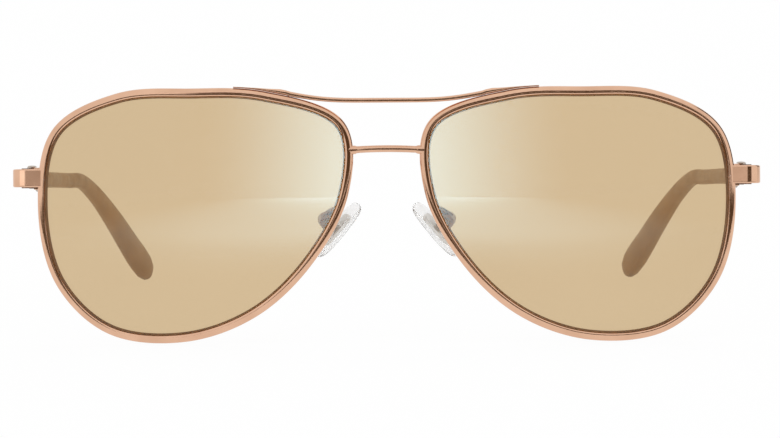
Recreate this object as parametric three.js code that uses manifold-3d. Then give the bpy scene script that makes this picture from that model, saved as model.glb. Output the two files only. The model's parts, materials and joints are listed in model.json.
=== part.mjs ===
// Aviator sunglasses: two wire rims with a brow bar and a bridge, tinted lenses,
// rocking nose pads, screwed rim closings and folding temples with sleeved tips.
// Units are millimetres, +Z is up, the front looks along -Y and the temples run along +Y.
import * as THREE from "three";
import { ParametricGeometry } from "three/addons/geometries/ParametricGeometry.js";
import { mergeVertices } from "three/addons/utils/BufferGeometryUtils.js";
import Module from "manifold-3d";

const wasm = await Module();
wasm.setup();

// Front
const LENS_WIDTH = 57.5; // widest visible lens width
const LENS_HEIGHT = 44.9; // tallest visible lens height
const NOSE_GAP = 17.0; // between the two lenses at their nasal sides, along the chord
const LENS_RADIUS = 88; // both lens faces and both rims lie on spheres
const FACE_FORM = 6; // degrees each lens turns back towards its temple
const LENS_THICKNESS = 1.5;
const LENS_BEVEL = 0.4; // height of the ridge that sits in the rim's groove
const RIM_WIDTH = 1.75; // seen from the front
const RIM_DEPTH = 1.9; // front to back
const GROOVE_DEPTH = 0.52;
const RIM_SPLIT = 0.36; // slot where the closing screw pulls the rim together
const CLEARANCE = 0.05; // between pieces that are fixed to each other

// Brow bar and bridge
const BROW_REACH = 29.0; // feathered ends, measured from the middle
const BROW_LEAVE = 19.5; // where the bar leaves the rim
const BROW_HEIGHT = 0.9;
const BROW_DEPTH = 1.7;
const BROW_SAG = 2.1; // the middle hangs this far below the rim tops
const BRIDGE_LEVEL = 10.4; // above the lens centre
const BRIDGE_RADIUS = 0.66;
const BRIDGE_FLARE = 0.86; // radius where it meets the rims

// Endpiece and hinge
const HINGE_LEVEL = 4.8; // above the lens centre
const ENDPIECE_HEIGHT = 3.45;
const STRIP_THICKNESS = 1.5;
const CORNER_RADIUS = 2.7;
const LEG_LENGTH = 5.2; // front face of the endpiece to the joint line
const PIVOT_OUT = 1.6; // from the rim's outer side to the hinge axis
const LEG_INSET = 1.95; // from the hinge axis to the inside of the leg
const BARREL_RADIUS = 1.25;
const STACK_HEIGHT = 3.8;
const KNUCKLE_GAP = 0.06;
const MIDDLE_KNUCKLE = 1.4;
const HINGE_BORE = 0.68;
const HINGE_SHANK = 0.6;
const HINGE_HEAD = 0.95;
const TEMPLE_SLOPE = 4; // degrees the temples fall towards the ears

// Closing blocks
const BLOCK_WIDTH = 1.8;
const BLOCK_OUT = 0.08; // from the rim's outer side to the middle of the blocks
const BLOCK_DEPTH = 2.2;
const BLOCK_HEIGHT = 1.9;
const CLOSING_BORE = 0.46;
const CLOSING_SHANK = 0.4;
const CLOSING_HEAD = 0.72;

// Temples
const TEMPLE_LENGTH = 133; // joint line to the end of the tip, measured along Y
const ARM_HEIGHT = 3.4;
const ARM_END_HEIGHT = 2.7;
const SLEEVE_START = 34; // joint line to the sleeve's mouth
const CORE_END = 108;
const CORE_THICKNESS = 1.0;
const CORE_HEIGHT = 1.6;

// Nose pads
const PAD_LENGTH = 13;
const PAD_WIDTH = 7;
const PAD_THICKNESS = 2.2;
const PAD_FRONTAL = 41; // degrees the pad's foot swings out
const PAD_SPLAY = 14; // degrees the pad opens towards the face
const PAD_OFFSET = 2.9; // pad middle to its screw
const PAD_BEHIND = 8.2; // pad middle behind the front plane
const BOX_RADIUS = 1.45;
const BOX_WIDTH = 2.7;
const TAB_THICKNESS = 0.9;
const WIRE_RADIUS = 0.55;

const rad = THREE.MathUtils.degToRad;
const V3 = (x, y, z) => new THREE.Vector3(x, y, z);
const lerp = THREE.MathUtils.lerp;

// Lens outline seen square on: +x towards the temple, +y up, drawn for a 57.5 x 45.1 lens.
const outline = new THREE.CatmullRomCurve3(
  [
    [-20.4, -10.3], [-10.3, -19.7], [2.7, -24.4], [17.1, -23.1],
    [26.3, -14.3], [29.3, 0.1], [26.7, 13.4], [14.8, 19.8],
    [0.9, 20.7], [-12.7, 20.1], [-26.6, 14.8], [-27.1, 2.5],
  ].map(([x, y]) => V3((x * LENS_WIDTH) / 57.5, (y * LENS_HEIGHT) / 45.1, 0)),
  true,
  "centripetal",
);
outline.arcLengthDivisions = 400;

// The left lens: its middle, its axes and the centre of its sphere.
const axisU = V3(Math.cos(rad(FACE_FORM)), Math.sin(rad(FACE_FORM)), 0);
const axisV = V3(0, 0, 1);
const axisW = V3(-Math.sin(rad(FACE_FORM)), Math.cos(rad(FACE_FORM)), 0);
const samples = outline.getPoints(400);
const nasalReach = -Math.min(...samples.map((p) => p.x));
const lowReach = -Math.min(...samples.map((p) => p.y));
const lensCentre = V3(NOSE_GAP / 2 + nasalReach * axisU.x, 0, lowReach + RIM_WIDTH);
const sphereCentre = lensCentre.clone().addScaledVector(axisW, LENS_RADIUS);

// A point of the front surface, with the outward normal of the sphere there.
function onSphere(u, v) {
  const sag = LENS_RADIUS - Math.sqrt(LENS_RADIUS ** 2 - u * u - v * v);
  const p = lensCentre.clone().addScaledVector(axisU, u).addScaledVector(axisV, v);
  p.addScaledVector(axisW, sag);
  return { p, normal: p.clone().sub(sphereCentre).normalize() };
}

// Frame of the lens edge at outline parameter t: out = away from the lens, normal = forwards.
function edgeFrame(t) {
  const q = outline.getPoint(t);
  const ahead = outline.getPoint((t + 0.001) % 1);
  const { p, normal } = onSphere(q.x, q.y);
  const along = onSphere(ahead.x, ahead.y).p.sub(p).normalize();
  const out = along.clone().cross(normal).normalize();
  if (out.dot(axisU) * q.x + out.z * q.y < 0) out.negate();
  return { p, out, normal };
}

const at = (f, b, n) => f.p.clone().addScaledVector(f.out, b).addScaledVector(f.normal, n);

// Outline parameter at a height above the lens centre, on the nasal (-1) or temporal (+1) side.
function parameterAt(height, side) {
  let best = 0;
  let error = Infinity;
  for (let i = 0; i < 2000; i += 1) {
    const q = outline.getPoint(i / 2000);
    const e = Math.abs(q.y - height);
    if (q.x * side > 0 && e < error) [best, error] = [i / 2000, e];
  }
  return best;
}

// Outline parameter on the top edge above a distance from the middle of the glasses.
function topParameterAt(x) {
  let best = 0;
  let error = Infinity;
  for (let i = 0; i < 2000; i += 1) {
    const f = edgeFrame(i / 2000);
    const e = Math.abs(f.p.x - x);
    if (f.out.z > 0.5 && e < error) [best, error] = [i / 2000, e];
  }
  return best;
}

// Closed surface through rings of points. An open run of rings closes to its end rings' middles.
function skin(rings, closed = false) {
  const around = rings[0].length;
  const middle = (ring) => {
    const m = V3(0, 0, 0);
    ring.forEach((p) => m.addScaledVector(p, 1 / around));
    return Array(around).fill(m);
  };
  const rows = closed ? [...rings, rings[0]] : [middle(rings[0]), ...rings, middle(rings.at(-1))];
  const steps = rows.length - 1;
  return new ParametricGeometry(
    (u, v, target) => target.copy(rows[Math.round(v * steps)][Math.round(u * around) % around]),
    around,
    steps,
  );
}

// Turns the faces round if they look inwards.
function outward(geometry) {
  const p = geometry.attributes.position;
  const i = geometry.index.array;
  const [a, b, c] = [V3(0, 0, 0), V3(0, 0, 0), V3(0, 0, 0)];
  let volume = 0;
  for (let k = 0; k < i.length; k += 3) {
    a.fromBufferAttribute(p, i[k]);
    b.fromBufferAttribute(p, i[k + 1]);
    c.fromBufferAttribute(p, i[k + 2]);
    volume += a.dot(b.cross(c));
  }
  if (volume < 0) {
    const turned = [];
    for (let k = 0; k < i.length; k += 3) turned.push(i[k], i[k + 2], i[k + 1]);
    geometry.setIndex(turned);
  }
  return geometry;
}

// Merges shared vertices and drops the triangles that a pole folds to a line.
function welded(geometry) {
  const g = new THREE.BufferGeometry();
  g.setAttribute("position", geometry.getAttribute("position").clone());
  if (geometry.index) g.setIndex(geometry.index.clone());
  const merged = mergeVertices(g, 1e-5);
  const i = merged.index.array;
  const kept = [];
  for (let k = 0; k < i.length; k += 3) {
    const [a, b, c] = [i[k], i[k + 1], i[k + 2]];
    if (a !== b && b !== c && c !== a) kept.push(a, b, c);
  }
  merged.setIndex(kept);
  return outward(merged);
}

function solid(geometry) {
  const g = welded(geometry);
  return new wasm.Manifold(new wasm.Mesh({
    numProp: 3,
    vertProperties: new Float32Array(g.attributes.position.array),
    triVerts: new Uint32Array(g.index.array),
  }));
}

function geometryOf(manifold) {
  const mesh = manifold.getMesh();
  const g = new THREE.BufferGeometry();
  g.setAttribute("position", new THREE.Float32BufferAttribute(mesh.vertProperties, 3));
  g.setIndex([...mesh.triVerts]);
  return g;
}

const cut = (base, ...tools) => geometryOf(tools.reduce((s, t) => s.subtract(solid(t)), solid(base)));
const join = (base, ...more) => geometryOf(more.reduce((s, t) => s.add(solid(t)), solid(base)));

// Section with rounded corners, width along the first axis, height along the second.
function roundedSection(width, height, radius, steps = 2) {
  const r = Math.min(radius, width / 2 - 0.01, height / 2 - 0.01);
  const ring = [];
  for (let corner = 0; corner < 4; corner += 1) {
    const sx = corner === 0 || corner === 3 ? 1 : -1;
    const sy = corner < 2 ? 1 : -1;
    for (let k = 0; k <= steps; k += 1) {
      const a = rad(90 * corner + (90 * k) / steps);
      const x = sx * (width / 2 - r) + r * Math.cos(a);
      const y = sy * (height / 2 - r) + r * Math.sin(a);
      ring.push([x, y]);
    }
  }
  return ring;
}

const circleSection = (radius, steps = 14) =>
  Array.from({ length: steps }, (_, k) => [
    radius * Math.cos((2 * Math.PI * k) / steps),
    radius * Math.sin((2 * Math.PI * k) / steps),
  ]);

const place = (section, p, a, b) =>
  section.map(([s, t]) => p.clone().addScaledVector(a, s).addScaledVector(b, t));

// Rod along a curve with a radius that may change on the way.
function rod(curve, radiusAt, steps, around = 14) {
  const frames = curve.computeFrenetFrames(steps, false);
  const rings = [];
  for (let i = 0; i <= steps; i += 1) {
    const p = curve.getPointAt(i / steps);
    const section = circleSection(radiusAt(i / steps), around);
    rings.push(place(section, p, frames.normals[i], frames.binormals[i]));
  }
  return skin(rings);
}

function mirrored(geometry) {
  const g = welded(geometry);
  g.scale(-1, 1, 1);
  return outward(g);
}

// Right-handed local frame moved to a place in the glasses.
function placed(geometry, origin, x, y, z) {
  const m = new THREE.Matrix4().makeBasis(x, y, z).setPosition(origin);
  return geometry.clone().applyMatrix4(m);
}

const cylinder = (radius, height, around = 24) =>
  new THREE.CylinderGeometry(radius, radius, height, around).rotateX(Math.PI / 2);

const box = (x0, x1, y0, y1, z0, z1) =>
  new THREE.BoxGeometry(x1 - x0, y1 - y0, z1 - z0)
    .translate((x0 + x1) / 2, (y0 + y1) / 2, (z0 + z1) / 2);

// Screw along Z with its slotted head at the top; z = 0 is the underside of the head.
function screw(shank, head, headHeight, length) {
  const profile = [
    [0, -length], [shank - 0.1, -length], [shank, -length + 0.1], [shank, 0],
    [head, 0], [head, headHeight * 0.45], [head * 0.72, headHeight * 0.85], [0, headHeight],
  ].map(([x, y]) => new THREE.Vector2(x, y));
  const body = new THREE.LatheGeometry(profile, 20).rotateX(Math.PI / 2);
  const slot = box(-head * 2, head * 2, -0.13, 0.13, headHeight * 0.45, headHeight * 2);
  return cut(body, slot);
}

// Rims
const halfDepth = RIM_DEPTH / 2;
const rimSection = [
  [0, halfDepth - 0.12], [0.12, halfDepth],
  [RIM_WIDTH - 0.4, halfDepth], [RIM_WIDTH, halfDepth - 0.4],
  [RIM_WIDTH, 0.4 - halfDepth], [RIM_WIDTH - 0.4, -halfDepth],
  [0.12, -halfDepth], [0, 0.12 - halfDepth],
  [0, -0.42], [GROOVE_DEPTH, 0], [0, 0.42],
];

// Stations round the lens edge from one side of the slot to the other; the rim, the lens and
// every piece that lies on the rim share them, so their facets run parallel.
const splitAt = parameterAt(HINGE_LEVEL, 1);
const halfSlot = RIM_SPLIT / 2 / outline.getLength();
const stations = Array.from({ length: 59 }, (_, i) => {
  const t = lerp(splitAt + halfSlot, splitAt + 1 - halfSlot, i / 58);
  return t % 1;
});
const rimRings = (section) =>
  stations.map((t) => {
    const f = edgeFrame(t);
    return section.map(([b, n]) => at(f, b, n));
  });

const rim = skin(rimRings(rimSection));

// The space a rim takes up, with the clearance all round: pieces that lie on it are cut back to it.
const rimSpace = skin(
  rimRings([
    [-0.4, halfDepth + CLEARANCE], [RIM_WIDTH + CLEARANCE - 0.3, halfDepth + CLEARANCE],
    [RIM_WIDTH + CLEARANCE, halfDepth - 0.3], [RIM_WIDTH + CLEARANCE, 0.3 - halfDepth],
    [RIM_WIDTH + CLEARANCE - 0.3, -halfDepth - CLEARANCE], [-0.4, -halfDepth - CLEARANCE],
  ]),
  true,
);

// Lenses: two faces on parallel spheres and a ridge that stays clear of the groove.
function lensRings() {
  const half = LENS_THICKNESS / 2;
  const rings = [];
  const face = (scale, n) => {
    rings.push(stations.map((t) => {
      const q = outline.getPoint(t).multiplyScalar(scale);
      const { p, normal } = onSphere(q.x, q.y);
      return p.addScaledVector(normal, n);
    }));
  };
  const edge = (b, n) => rings.push(stations.map((t) => at(edgeFrame(t), b, n)));
  for (const s of [0.05, 0.4, 0.75]) face(s, half);
  edge(-0.18, half);
  edge(-CLEARANCE, half - 0.13);
  edge(-CLEARANCE, 0.32);
  edge(LENS_BEVEL, 0);
  edge(-CLEARANCE, -0.32);
  edge(-CLEARANCE, 0.13 - half);
  edge(-0.18, -half);
  for (const s of [0.75, 0.4, 0.05]) face(s, -half);
  return rings;
}
const lens = skin(lensRings());

// Brow bar: feathered ends on top of both rims, a shallow dip over the nose.
function browStations() {
  const from = topParameterAt(BROW_REACH);
  const to = topParameterAt(BROW_LEAVE);
  const turn = to < from ? to + 1 : to;
  const half = [];
  const lift = RIM_WIDTH + CLEARANCE;
  for (let i = 0; i <= 10; i += 1) {
    const f = edgeFrame(lerp(from, turn, i / 10) % 1);
    const height = lerp(0.14, BROW_HEIGHT, Math.min(1, i / 9) ** 2.2);
    half.push({ p: at(f, lift + height / 2, 0), up: f.out, height });
  }
  const a = half.at(-1).p;
  const b = half.at(-2).p;
  const run = a.clone().sub(b).normalize();
  const topLevel = lensCentre.z + (20.8 * LENS_HEIGHT) / 45.1 + RIM_WIDTH;
  const low = V3(0, a.y - 0.25, topLevel - BROW_SAG - BROW_HEIGHT / 2);
  const dip = new THREE.CubicBezierCurve3(
    a,
    a.clone().addScaledVector(run, BROW_LEAVE * 0.4),
    V3(BROW_LEAVE * 0.45, low.y, low.z),
    low,
  );
  for (let i = 1; i <= 6; i += 1) {
    const along = dip.getTangent(i / 6);
    const up = V3(-along.z, 0, along.x).normalize();
    if (up.z < 0) up.negate();
    half.push({ p: dip.getPoint(i / 6), up, height: BROW_HEIGHT });
  }
  half.at(-1).up = V3(0, 0, 1);
  const other = half.slice(0, -1).reverse().map((s) => ({
    p: V3(-s.p.x, s.p.y, s.p.z), up: V3(-s.up.x, s.up.y, s.up.z), height: s.height,
  }));
  return [...half, ...other];
}
const browRaw = skin(browStations().map((s, i, all) => {
  const next = all[Math.min(i + 1, all.length - 1)].p;
  const before = all[Math.max(i - 1, 0)].p;
  const along = next.clone().sub(before).normalize();
  const back = along.clone().cross(s.up).normalize();
  const up = back.clone().cross(along).normalize();
  return place(roundedSection(s.height, BROW_DEPTH, 0.4, 2), s.p, up, back);
}));
const browBar = cut(browRaw, rimSpace, mirrored(rimSpace));

// Bridge
const bridgeFrame = edgeFrame(parameterAt(BRIDGE_LEVEL, -1));
const bridgeEnd = at(bridgeFrame, RIM_WIDTH / 2, 0);
const bridgeCurve = new THREE.CatmullRomCurve3([
  bridgeEnd,
  V3(bridgeEnd.x * 0.5, bridgeEnd.y - 0.55, bridgeEnd.z + 0.22),
  V3(0, bridgeEnd.y - 0.8, bridgeEnd.z + 0.3),
  V3(-bridgeEnd.x * 0.5, bridgeEnd.y - 0.55, bridgeEnd.z + 0.22),
  V3(-bridgeEnd.x, bridgeEnd.y, bridgeEnd.z),
]);
const flare = (t) => {
  const edge = Math.max(0, Math.abs(2 * t - 1) - 0.62) / 0.38;
  return lerp(BRIDGE_RADIUS, BRIDGE_FLARE, Math.min(1, edge * 1.4));
};
const bridge = cut(rod(bridgeCurve, flare, 20, 14), rimSpace, mirrored(rimSpace));

// Hinge frame: x outwards, y along the open temple, z along the pin.
const slope = rad(TEMPLE_SLOPE);
const hingeX = V3(1, 0, 0);
const hingeY = V3(0, Math.cos(slope), -Math.sin(slope));
const hingeZ = V3(0, Math.sin(slope), Math.cos(slope));
const temporal = edgeFrame(splitAt);
const rimSide = at(temporal, RIM_WIDTH, 0);
const pivot = V3(rimSide.x + PIVOT_OUT, rimSide.y + LEG_LENGTH - 1.2, lensCentre.z + HINGE_LEVEL);
const atHinge = (g) => placed(g, pivot, hingeX, hingeY, hingeZ);

// Endpiece: a flat strip that leaves the rim and turns back along the temple.
const legIn = LEG_INSET;
const legOut = LEG_INSET + STRIP_THICKNESS;
const strip = new THREE.Shape();
strip.moveTo(-PIVOT_OUT - 1.0, -LEG_LENGTH);
strip.lineTo(legOut - CORNER_RADIUS, -LEG_LENGTH);
strip.absarc(legOut - CORNER_RADIUS, CORNER_RADIUS - LEG_LENGTH, CORNER_RADIUS, -Math.PI / 2, 0);
strip.lineTo(legOut, -CLEARANCE);
strip.lineTo(legIn, -CLEARANCE);
strip.lineTo(legIn, CORNER_RADIUS - LEG_LENGTH);
strip.absarc(
  legOut - CORNER_RADIUS, CORNER_RADIUS - LEG_LENGTH,
  CORNER_RADIUS - STRIP_THICKNESS, 0, -Math.PI / 2, true,
);
strip.lineTo(-PIVOT_OUT - 1.0, STRIP_THICKNESS - LEG_LENGTH);
strip.closePath();
const stripSolid = new THREE.ExtrudeGeometry(strip, {
  depth: ENDPIECE_HEIGHT - 0.5, bevelThickness: 0.25, bevelSize: 0.18, bevelOffset: -0.18,
  bevelSegments: 2, curveSegments: 8,
}).translate(0, 0, 0.25 - ENDPIECE_HEIGHT / 2);

// Hinge halves, screw
const halfMiddle = MIDDLE_KNUCKLE / 2;
const plateIn = BARREL_RADIUS + 0.1;
const plateOut = legIn - CLEARANCE;
function knuckle(z0, z1, side) {
  const barrel = cylinder(BARREL_RADIUS, z1 - z0).translate(0, 0, (z0 + z1) / 2);
  const web = side < 0
    ? box(0, plateOut, -BARREL_RADIUS, -0.1, z0, z1)
    : box(0, plateOut, 0.1, BARREL_RADIUS, z0, z1);
  return [barrel, web];
}
const bore = cylinder(HINGE_BORE, STACK_HEIGHT * 2);
const reach = LEG_LENGTH - CORNER_RADIUS;
const hingeFront = atHinge(cut(
  join(
    box(plateIn, plateOut, -reach, -0.1, -ENDPIECE_HEIGHT / 2 + 0.1, ENDPIECE_HEIGHT / 2 - 0.1),
    ...knuckle(halfMiddle + KNUCKLE_GAP, STACK_HEIGHT / 2, -1),
    ...knuckle(-STACK_HEIGHT / 2, -halfMiddle - KNUCKLE_GAP, -1),
  ),
  bore,
));
const hingeTemple = atHinge(cut(
  join(
    box(plateIn, plateOut, 0.1, reach + 1.2, -ARM_HEIGHT / 2 + 0.15, ARM_HEIGHT / 2 - 0.15),
    ...knuckle(-halfMiddle, halfMiddle, 1),
  ),
  bore,
));
const hingeScrew = atHinge(
  screw(HINGE_SHANK, HINGE_HEAD, 0.55, STACK_HEIGHT + 0.14)
    .translate(0, 0, STACK_HEIGHT / 2 + 0.03),
);

// Closing blocks behind the slot of the rim
const blockAt = rimSide.clone().add(V3(BLOCK_OUT, halfDepth + BLOCK_DEPTH / 2, 0));
const atBlock = (g) => g.clone().translate(blockAt.x, blockAt.y, blockAt.z);
function block(z0) {
  const w = BLOCK_WIDTH / 2;
  const s = new THREE.Shape();
  s.moveTo(-w, -BLOCK_DEPTH / 2 - 0.5);
  s.lineTo(w, -BLOCK_DEPTH / 2 - 0.5);
  s.lineTo(w, BLOCK_DEPTH / 2 - w);
  s.absarc(0, BLOCK_DEPTH / 2 - w, w, 0, Math.PI);
  s.closePath();
  const body = new THREE.ExtrudeGeometry(s, {
    depth: BLOCK_HEIGHT - 0.2, bevelThickness: 0.1, bevelSize: 0.1, bevelOffset: -0.1,
    bevelSegments: 1, curveSegments: 12,
  });
  return body.translate(0, 0, z0 + 0.1);
}
const slotHalf = RIM_SPLIT / 2;
const upperBlock = cut(
  atBlock(block(slotHalf)),
  rimSpace,
  atBlock(cylinder(CLOSING_BORE, 3).translate(0, 0, slotHalf)),
);
const lowerBlock = cut(
  atBlock(block(-slotHalf - BLOCK_HEIGHT)),
  rimSpace,
  atBlock(cylinder(CLOSING_BORE, 12)),
);
const blockSpace = atBlock(box(
  -BLOCK_WIDTH / 2 - CLEARANCE, BLOCK_WIDTH / 2 + CLEARANCE,
  -BLOCK_DEPTH / 2 - 0.5 - CLEARANCE, BLOCK_DEPTH / 2,
  -slotHalf - BLOCK_HEIGHT - CLEARANCE, slotHalf + BLOCK_HEIGHT + CLEARANCE,
));
const endpiece = cut(atHinge(stripSolid), rimSpace, blockSpace);
const closingScrew = atBlock(
  screw(CLOSING_SHANK, CLOSING_HEAD, 0.5, BLOCK_HEIGHT + RIM_SPLIT + 1.3)
    .rotateX(Math.PI)
    .translate(0, 0, -slotHalf - BLOCK_HEIGHT - 0.04),
);

// Temple centre line, in shares of the temple length, from the joint line backwards
const rise = pivot.z;
const L = TEMPLE_LENGTH;
const armX = pivot.x + LEG_INSET + STRIP_THICKNESS / 2;
const drop = (share) => share * L * Math.tan(slope);
const templeLine = new THREE.CatmullRomCurve3([
  V3(armX, pivot.y, rise),
  V3(armX - 0.05, pivot.y + 0.1 * L, rise - drop(0.1)),
  V3(armX - 1.3, pivot.y + 0.34 * L, rise - drop(0.34)),
  V3(armX - 3.7, pivot.y + 0.6 * L, rise - drop(0.6)),
  V3(armX - 5.3, pivot.y + 0.7 * L, rise * 0.785),
  V3(armX - 7.7, pivot.y + 0.79 * L, rise * 0.655),
  V3(armX - 10.8, pivot.y + 0.87 * L, rise * 0.455),
  V3(armX - 14.2, pivot.y + 0.94 * L, rise * 0.225),
  V3(armX - 17.4, pivot.y + L, rise * 0.0297),
]);
templeLine.arcLengthDivisions = 400;

function templeShareAt(y) {
  let best = 0;
  let error = Infinity;
  for (let i = 0; i <= 1000; i += 1) {
    const e = Math.abs(templeLine.getPointAt(i / 1000).y - y);
    if (e < error) [best, error] = [i / 1000, e];
  }
  return best;
}

// Sections across the temple: side = thickness direction, up = height direction.
function templeFrame(share, twist = 0) {
  const p = templeLine.getPointAt(share);
  const along = templeLine.getTangentAt(share);
  const side = V3(1, 0, 0).addScaledVector(along, -along.x).normalize();
  const up = side.clone().cross(along).normalize();
  side.applyAxisAngle(along, twist);
  up.applyAxisAngle(along, twist);
  return { p, side, up, along };
}

const mouth = templeShareAt(pivot.y + SLEEVE_START);
const coreEnd = templeShareAt(pivot.y + CORE_END);
const coreStep = 0.15 / templeLine.getLength();
const coreShares = Array.from({ length: 18 }, (_, i) => lerp(mouth - coreStep / 2, coreEnd, i / 17));
const ring = (f, width, height, radius) => place(roundedSection(width, height, radius), f.p, f.side, f.up);

// Metal arm: a flat bar that steps down to a core inside the sleeve.
function armRings() {
  const start = templeShareAt(pivot.y + CLEARANCE + 0.02);
  const first = templeFrame(start);
  const rings = [];
  const square = { p: V3(armX, pivot.y, rise).addScaledVector(hingeY, CLEARANCE + 0.02), side: hingeX, up: hingeZ };
  rings.push(ring(square, STRIP_THICKNESS - 0.16, ARM_HEIGHT - 0.16, 0.3));
  square.p = square.p.clone().addScaledVector(hingeY, 0.1);
  rings.push(ring(square, STRIP_THICKNESS, ARM_HEIGHT, 0.35));
  for (let i = 1; i <= 9; i += 1) {
    const k = i / 9;
    const f = templeFrame(lerp(start, mouth - 1.5 * coreStep, k));
    if (f.p.y < first.p.y + 1) continue;
    rings.push(ring(f, lerp(STRIP_THICKNESS, 1.3, k), lerp(ARM_HEIGHT, ARM_END_HEIGHT, k), 0.35));
  }
  for (const s of coreShares) rings.push(ring(templeFrame(s), CORE_THICKNESS, CORE_HEIGHT, 0.3));
  return rings;
}
const templeArm = skin(armRings());

// Sleeve: width and height grow towards a rounded, slightly turned paddle.
const paddle = [
  // share of the sleeve, thickness, height, twist in degrees
  [0, 1.9, 3.0, 0], [0.02, 2.15, 3.25, 0], [0.35, 2.3, 3.1, 0], [0.55, 2.5, 3.2, 2],
  [0.68, 2.9, 4.0, 5], [0.82, 3.4, 5.4, 10], [0.93, 3.6, 6.2, 14], [0.965, 3.4, 5.7, 15],
  [0.985, 2.8, 4.6, 15], [0.996, 1.8, 2.9, 15], [1, 0.7, 1.1, 15],
];
function paddleAt(share) {
  const i = Math.max(1, paddle.findIndex((row) => row[0] >= share - 1e-9));
  const [a, b] = [paddle[i - 1], paddle[i]];
  const k = (share - a[0]) / (b[0] - a[0]);
  return [1, 2, 3].map((c) => lerp(a[c], b[c], k));
}
function sleeveRings() {
  const shares = [0, 0.02];
  for (let i = 1; i <= 18; i += 1) shares.push(0.02 + (0.91 * i) / 18);
  shares.push(0.95, 0.965, 0.985, 0.996, 1);
  return shares.map((s) => {
    const [width, height, twist] = paddleAt(s);
    const f = templeFrame(lerp(mouth, 1, s), rad(-twist));
    return place(roundedSection(width, height, Math.min(width, height) * 0.46), f.p, f.side, f.up);
  });
}
function sleeveBore() {
  const shares = [mouth - 6 * coreStep, ...coreShares, coreEnd + coreStep];
  const width = CORE_THICKNESS + 2 * CLEARANCE;
  return skin(shares.map((s) => ring(templeFrame(s), width, CORE_HEIGHT + 2 * CLEARANCE, 0.34)));
}
const templeTip = cut(skin(sleeveRings()), sleeveBore());

// Nose pad frame: padL down its length, padW towards the back, padN away from the nose.
const frontal = rad(PAD_FRONTAL);
const splay = rad(PAD_SPLAY);
const turnY = new THREE.Matrix4().makeRotationY(-frontal);
const padL = V3(0, 0, -1).applyMatrix4(turnY);
const padN = V3(Math.cos(splay), -Math.sin(splay), 0).applyMatrix4(turnY);
const padW = padN.clone().cross(padL).normalize();
const padSide = edgeFrame(parameterAt(-5.0, -1));
const padRim = at(padSide, RIM_WIDTH, 0);
const padMiddle = V3(padRim.x - 1.2, PAD_BEHIND, lensCentre.z - 5.1);
const padScrewAt = padMiddle.clone().addScaledVector(padN, PAD_OFFSET);
const atPad = (g) => placed(g, padScrewAt, padL, padW, padN);

// Pad body: a soft drop shape, thinner towards its edge.
const padOutline = new THREE.CatmullRomCurve3(
  [[-0.5, 0.02], [-0.4, 0.3], [-0.08, 0.47], [0.26, 0.5], [0.46, 0.27],
    [0.5, -0.02], [0.42, -0.33], [0.18, -0.5], [-0.14, -0.44], [-0.42, -0.26]]
    .map(([l, w]) => V3(l * PAD_LENGTH, w * PAD_WIDTH, 0)),
  true,
  "centripetal",
);
function padBody() {
  const t = PAD_THICKNESS / 2;
  const rings = [];
  for (const [shrink, n] of [
    [4, -t], [1.6, -t + 0.02], [0.7, -t + 0.12], [0.22, -t + 0.42], [0, -0.15 * t],
    [0, 0.2 * t], [0.2, t - 0.35], [0.6, t - 0.1], [1.4, t], [4, t],
  ]) {
    const flat = [];
    for (let i = 0; i < 26; i += 1) {
      const q = padOutline.getPoint(i / 26);
      const k = 1 - (shrink * 2) / PAD_WIDTH;
      flat.push(V3(q.x * (shrink > 3 ? 0.05 : 1 - (shrink * 2) / PAD_LENGTH), q.y * (shrink > 3 ? 0.05 : k), n));
    }
    rings.push(flat);
  }
  return skin(rings).translate(0, 0, -PAD_OFFSET);
}

// Insert: a plate inside the pad and a tongue that reaches the screw.
const tongueRadius = 0.82;
function insertBody(grow) {
  const p = new THREE.Shape();
  const [l, w] = [3.6 + grow, 1.7 + grow];
  p.moveTo(-l + w, -w);
  p.lineTo(l - w, -w);
  p.absarc(l - w, 0, w, -Math.PI / 2, Math.PI / 2);
  p.lineTo(-l + w, w);
  p.absarc(-l + w, 0, w, Math.PI / 2, (3 * Math.PI) / 2);
  const plate = new THREE.ExtrudeGeometry(p, {
    depth: 0.5 + 2 * grow, bevelEnabled: false, curveSegments: 8,
  }).translate(0, 0, -PAD_OFFSET - 0.25 - grow);
  const r = tongueRadius + grow;
  const t = TAB_THICKNESS / 2 + grow;
  const neck = box(-r, r, -t, t, -PAD_OFFSET, 0);
  const eye = new THREE.CylinderGeometry(r, r, 2 * t, 24);
  return join(plate, neck, eye);
}
const pinHole = (radius) => new THREE.CylinderGeometry(radius, radius, 8, 20);
const padInsert = atPad(cut(insertBody(0), pinHole(0.44)));
const nosePad = atPad(cut(padBody(), insertBody(0.04)));

// Pad box: a round fork that holds the tongue, closed on the rim side.
const fork = new THREE.CylinderGeometry(BOX_RADIUS, BOX_RADIUS, BOX_WIDTH, 28);
const forkSlot = TAB_THICKNESS / 2 + 0.1;
const padBox = atPad(cut(
  fork,
  box(-3, 3, -forkSlot, forkSlot, -3, 0.94),
  pinHole(0.42),
));
const padScrew = atPad(
  screw(0.36, 0.7, 0.34, BOX_WIDTH + 0.1)
    .rotateX(Math.PI / 2)
    .translate(0, -BOX_WIDTH / 2 - 0.03, 0),
);

// Pad arm: a wire from the back of the rim, back and down to the pad box.
const footFrame = edgeFrame(parameterAt(-0.4, -1));
const foot = at(footFrame, RIM_WIDTH * 0.5, 0);
const boxTop = padScrewAt.clone().addScaledVector(padN, BOX_RADIUS - 0.35);
const wire = new THREE.CatmullRomCurve3([
  foot,
  at(footFrame, RIM_WIDTH * 0.55, -halfDepth - 1.0),
  V3(lerp(foot.x, boxTop.x, 0.45), lerp(foot.y, boxTop.y, 0.8), lerp(foot.z, boxTop.z, 0.25)),
  boxTop,
]);
const boxSpace = atPad(new THREE.CylinderGeometry(
  BOX_RADIUS + CLEARANCE, BOX_RADIUS + CLEARANCE, BOX_WIDTH + 2, 28,
));
const padArm = cut(rod(wire, () => WIRE_RADIUS, 22, 10), rimSpace, boxSpace);

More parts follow.
